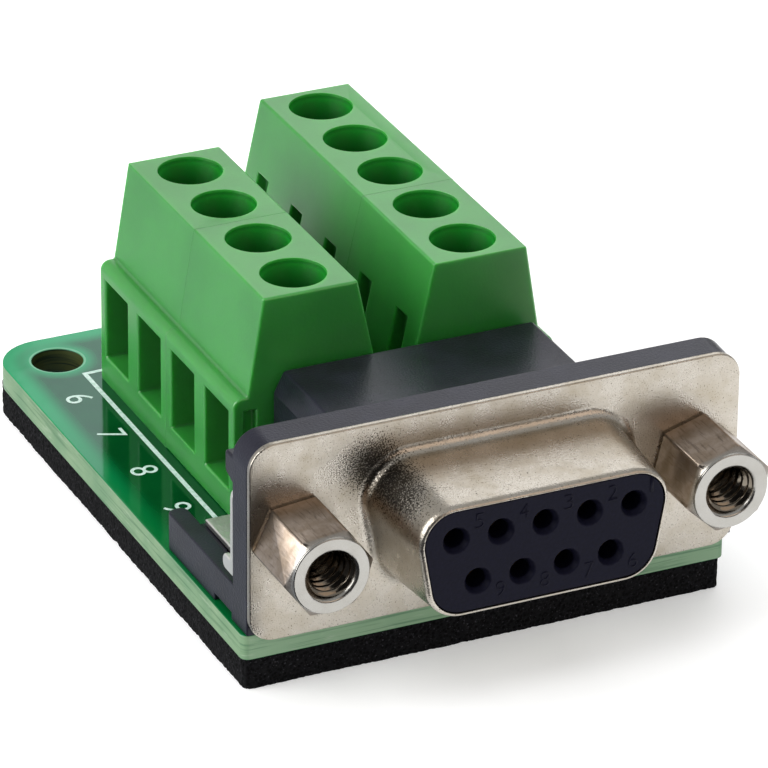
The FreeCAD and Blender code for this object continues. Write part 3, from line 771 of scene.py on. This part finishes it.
def tapped_bore(centre_x):
    """Helical groove seen inside a bore: the radius swings between crest and root once a pitch,
    and the swing's place moves on by one pitch for each turn round the axis."""
    turn = np.linspace(0, 2 * math.pi, turn_steps, endpoint=False)[None, :]
    depth = np.arange(thread_start, thread_end, thread_pitch / pitch_steps)[:, None]
    phase = (depth / thread_pitch + turn / (2 * math.pi)) % 1
    tooth = np.clip(1.25 * (1 - np.abs(2 * phase - 1)), 0, 1)
    lead_in = np.clip((depth - thread_start) / thread_lead_in, 0, 1)
    radius = thread_root - (thread_root - thread_crest) * tooth * lead_in
    return np.stack([centre_x + radius * np.cos(turn), jack_front + depth + 0 * turn,
                     axis_z + radius * np.sin(turn)], 2)


for side, sign in (("left", -1), ("right", 1)):
    softened(f"{side}_standoff", f"{side}_jackscrew", plate, 0.09, 3,
             [(1, flange_front - 0.17)], turned_standoff, standoff_share)
    softened(f"{side}_hex_nut", f"{side}_jack_nut", plate, 0.1)
    bore = tapped_bore(axis_x + sign * jack_side)
    thread = bpy.data.meshes.new("thread")
    thread.from_pydata((bore * MM).reshape(-1, 3).tolist(), [], quads(*bore.shape[:2])[:, ::-1].tolist())
    dressed(f"{side}_thread", thread, thread_painted_shade, sharp=80.0)


# The stage: a pale floor that keeps the object's soft shadow, a white surround and soft lamps.
# Only reflections show the rest: dark cloths in front, behind and on the floor, a grey card on
# the floor at the left, and above the cloth in front a beige wall that glows by its own emission.

floor_paint = Finish("pale_floor", srgb(236, 236, 236), 0.9, Specular_IOR_Level=0.1)
mottle = floor_paint.noise(400.0)
floor_paint.set("Base Color", floor_paint.blend(mottle, srgb(235, 235, 235), srgb(238, 238, 238)))
from_camera = floor_paint.add("ShaderNodeLightPath", {}, output=0)
from_gloss = floor_paint.add("ShaderNodeLightPath", {}, output=3)
painted = Value(floor_paint, floor_paint.surface.outputs[0])
glow = floor_paint.add("ShaderNodeEmission", {}, (1.0, 1.0, 1.0), 0.3)
lit = floor_paint.add("ShaderNodeAddShader", {}, painted, glow)
seen = from_camera.at_least(from_gloss)
shown = floor_paint.add("ShaderNodeMixShader", {}, seen, painted, lit)
floor_paint.tree.links.new(shown.socket, floor_paint.tree.nodes["Material Output"].inputs[0])


def flat_sheet(name, corners, finish):
    """One flat face through its corners, in metres, as part of the stage."""
    mesh = bpy.data.meshes.new(name)
    mesh.from_pydata(corners, [], [[0, 1, 2, 3]])
    mesh.materials.append(finish.material)
    sheet = bpy.data.objects.new(name, mesh)
    bpy.context.scene.collection.objects.link(sheet)
    return sheet


floor_half, floor_drop, card_lift = 1.5, 0.00002, 0.00005
floor_corners = [(-floor_half, -floor_half), (floor_half, -floor_half),
                 (floor_half, floor_half), (-floor_half, floor_half)]
flat_sheet("floor", [(x, y, -floor_drop) for x, y in floor_corners], floor_paint)


def reflected_only(sheet):
    """Leaves a sheet to be seen in glossy reflections alone."""
    sheet.visible_camera = sheet.visible_diffuse = sheet.visible_shadow = False


def upright_card(name, start, end, low, high, finish):
    """Card that stands over the line from start to end, between two heights."""
    corners = [(*start, low), (*end, low), (*end, high), (*start, high)]
    reflected_only(flat_sheet(name, corners, finish))


def lying_card(name, corners, finish):
    """Card that lies just over the floor."""
    reflected_only(flat_sheet(name, [(x, y, card_lift) for x, y in corners], finish))


curtain_cloth = Finish("dark_curtain", srgb(40, 40, 42), 0.9, Specular_IOR_Level=0.1)
weft = curtain_cloth.noise(20.0)
curtain_cloth.set("Base Color", curtain_cloth.blend(weft, srgb(34, 34, 36), srgb(46, 46, 48)))
upright_card("curtain", (-1.3, -0.4), (-0.02, -1.15), 0.0, 1.2, curtain_cloth)
upright_card("front_cloth", (0.1, -1.1), (1.0, -0.6), 0.0, 0.26, curtain_cloth)
upright_card("back_cloth", (0.36, 0.98), (0.98, 0.36), 0.0, 0.24, curtain_cloth)
lying_card("mat", [(0.0085, -0.5), (-0.0135, -0.024), (-0.6, -0.024), (-0.6, -0.5)], curtain_cloth)
grey_card = Finish("grey_card", srgb(160, 164, 170), 0.9, Specular_IOR_Level=0.1)
card_mottle = grey_card.noise(20.0)
grey_card.set("Base Color", grey_card.blend(card_mottle, srgb(156, 160, 167), srgb(164, 168, 173)))
lying_card("side_card", [(-0.0165, -0.024), (-0.0165, 0.6), (-0.7, 0.6), (-0.7, -0.024)], grey_card)
# Painted light: the wall glows by its own emission and is seen in reflections alone.
glowing_beige_wall = Finish("glowing_beige_wall", srgb(60, 56, 52), 0.9, Emission_Color=(0.98, 0.8, 0.67, 1.0),
                    Emission_Strength=1.0)
wall_mottle = glowing_beige_wall.noise(30.0)
glowing_beige_wall.set("Base Color", glowing_beige_wall.blend(wall_mottle, srgb(56, 52, 48), srgb(64, 60, 56)))
upright_card("wall_card", (-0.02, -1.0), (0.85, -0.62), 0.27, 1.1, glowing_beige_wall)

world = bpy.data.worlds.new("studio")
bpy.context.scene.world = world
world.use_nodes = True
sky = Nodes(world.node_tree)
level = sky.add("ShaderNodeLightPath", {}, output=0) * 0.5 + 0.5
world.node_tree.links.new(level.socket, world.node_tree.nodes["Background"].inputs["Strength"])
world.node_tree.nodes["Background"].inputs["Color"].default_value = (1, 1, 1, 1)

object_middle = Vector((0, 0, 0.01))


def lamp(name, size, power, place):
    """Square soft lamp at a place in metres, turned to the middle of the object."""
    light = bpy.data.lights.new(name, "AREA")
    light.shape = "SQUARE"
    light.size = size
    light.energy = power
    holder = bpy.data.objects.new(name, light)
    bpy.context.scene.collection.objects.link(holder)
    holder.location = place
    holder.rotation_mode = "QUATERNION"
    holder.rotation_quaternion = (Vector(place) - object_middle).to_track_quat("Z", "Y")
    return holder


lamp("left_lamp", 0.5, 3.0, (-0.52, 0.05, 0.28))
lamp("top_lamp", 0.7, 2.3, (0.0, 0.05, 0.6)).visible_glossy = False
lamp("back_lamp", 0.38, 0.5, (0.329, 0.425, 0.349))
lamp("front_lamp", 0.4, 0.5, (0.22, -0.6, 0.2)).visible_glossy = False

lens = bpy.data.cameras.new("camera")
lens.sensor_width = 36
lens.lens = 287.457
lens.shift_x = -0.00128
lens.shift_y = -0.00044
lens.clip_start = 0.01
lens.clip_end = 10
camera = bpy.data.objects.new("camera", lens)
bpy.context.scene.collection.objects.link(camera)
camera.location = (-0.135586, -0.296656, 0.174149)
camera.rotation_mode = "QUATERNION"
camera.rotation_quaternion = Quaternion((0.833855, 0.508908, -0.115498, -0.179886))
bpy.context.scene.camera = camera
bpy.context.scene.view_settings.view_transform = "Standard"
